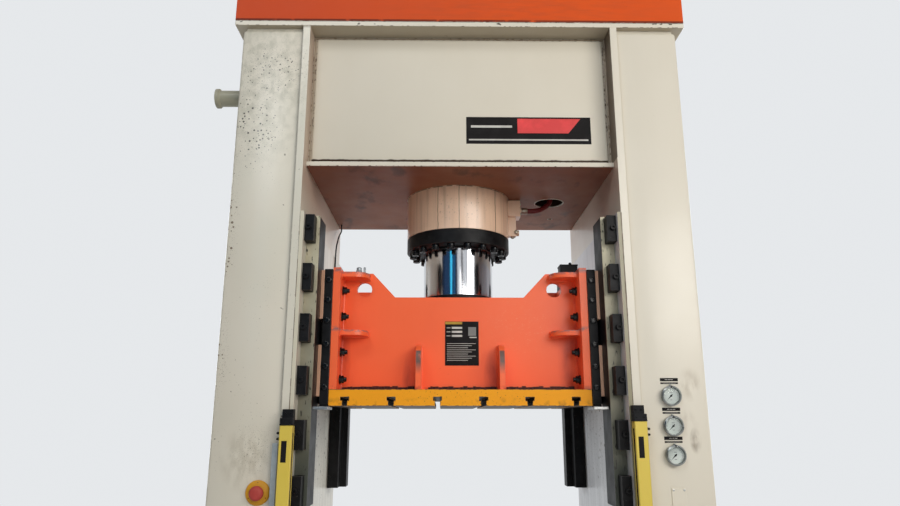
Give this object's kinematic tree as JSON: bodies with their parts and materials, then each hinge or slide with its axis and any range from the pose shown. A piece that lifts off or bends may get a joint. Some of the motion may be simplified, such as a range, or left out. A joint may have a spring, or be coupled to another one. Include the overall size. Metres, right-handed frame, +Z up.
{
  "type": "hydraulic press",
  "caption": "Frame-type hydraulic press with box columns, a down-stroke cylinder, a guided slide with T-slots, gauges, light curtains and a hydraulic unit on top.",
  "frame": {"origin": "on the floor under the middle of the bed", "axes": "+Z up along the cylinder, front of the press towards -Y, +X to the right seen from the front"},
  "size_m": [2.22, 1.26, 3.945],
  "materials": {
    "cream_paint": "satin cream paint",
    "orange_paint": "semi-gloss orange paint",
    "fascia_orange": "satin dark orange paint",
    "yellow_paint": "satin yellow paint",
    "curtain_yellow": "yellow powder coat",
    "black_oxide": "black oxide",
    "packing_steel": "dull ground strip",
    "bronze": "machined bronze",
    "chrome": "polished hard chrome",
    "steel": "machined steel",
    "grey_alloy": "cast grey alloy",
    "red_plastic": "matte red plastic",
    "amber_plastic": "matte amber plastic",
    "black_plastic": "matte black plastic",
    "hose_rubber": "braided hose cover",
    "motor_blue": "semi-gloss blue paint"
  },
  "bodies": {
    "frame": {"base_plate_left": "cream_paint", "base_plate_right": "cream_paint", "bed": "cream_paint", "bolster": "steel", "cover_plate": "cream_paint", "crown": "cream_paint", "curtain_body_left": "curtain_yellow", "curtain_body_right": "curtain_yellow", "curtain_cap_bottom_left": "black_plastic", "curtain_cap_bottom_right": "black_plastic", "curtain_cap_top_left": "black_plastic", "curtain_cap_top_right": "black_plastic", "cylinder_barrel": "cream_paint", "estop_collar": "amber_plastic", "fascia": "fascia_orange", "gauge_case_bottom": "steel", "gauge_case_middle": "steel", "gauge_case_top": "steel", "gland_ring": "black_oxide", "guide_rail_front_left": "black_oxide", "guide_rail_front_right": "black_oxide", "guide_rail_rear_left": "black_oxide", "guide_rail_rear_right": "black_oxide", "left_column": "cream_paint", "lube_line": "black_oxide", "oil_tank": "cream_paint", "packing_strip_left": "packing_steel", "packing_strip_right": "packing_steel", "port_block": "cream_paint", "port_hose": "hose_rubber", "pressure_pipe": "steel", "pump": "grey_alloy", "pump_motor": "motor_blue", "right_column": "cream_paint", "side_stub": "cream_paint", "suction_pipe": "steel", "top_plate": "cream_paint", "valve_manifold": "steel"},
    "slide": {"junction_box": "black_plastic", "liner_front_left_lower": "bronze", "liner_front_left_upper": "bronze", "liner_front_right_lower": "bronze", "liner_front_right_upper": "bronze", "liner_rear_left_lower": "bronze", "liner_rear_left_upper": "bronze", "liner_rear_right_lower": "bronze", "liner_rear_right_upper": "bronze", "piston_rod": "chrome", "rod_collar": "black_oxide", "shoe_front_left": "black_oxide", "shoe_front_right": "black_oxide", "shoe_rear_left": "black_oxide", "shoe_rear_right": "black_oxide", "slide_frame": "orange_paint", "slide_plate": "yellow_paint"},
    "emergency_stop": {"estop_button": "red_plastic"},
    "needle_top": {"gauge_needle_top": "black_oxide"},
    "needle_middle": {"gauge_needle_middle": "black_oxide"},
    "needle_bottom": {"gauge_needle_bottom": "black_oxide"}
  },
  "joints": [
    {"name": "slide_travel", "type": "slide", "parent": "frame", "child": "slide", "axis": [0, 0, 1], "range_m": [-0.4, 0]},
    {"name": "estop_press", "type": "slide", "parent": "frame", "child": "emergency_stop", "axis": [0, 1, 0], "range_m": [0, 0.006], "stiffness_N_per_m": 1500, "springref_m": -0.002},
    {"name": "gauge_top_needle", "type": "hinge", "parent": "frame", "child": "needle_top", "pos_m": [0.854, -0.566, 1.677], "axis": [0, 1, 0], "range_deg": [0, 270], "stiffness_Nm_per_rad": 0.0005, "springref_deg": -28.65},
    {"name": "gauge_middle_needle", "type": "hinge", "parent": "frame", "child": "needle_middle", "pos_m": [0.854, -0.566, 1.558], "axis": [0, 1, 0], "range_deg": [0, 270], "stiffness_Nm_per_rad": 0.0005, "springref_deg": -28.65},
    {"name": "gauge_bottom_needle", "type": "hinge", "parent": "frame", "child": "needle_bottom", "pos_m": [0.854, -0.566, 1.444], "axis": [0, 1, 0], "range_deg": [0, 270], "stiffness_Nm_per_rad": 0.0005, "springref_deg": -28.65}
  ]
}
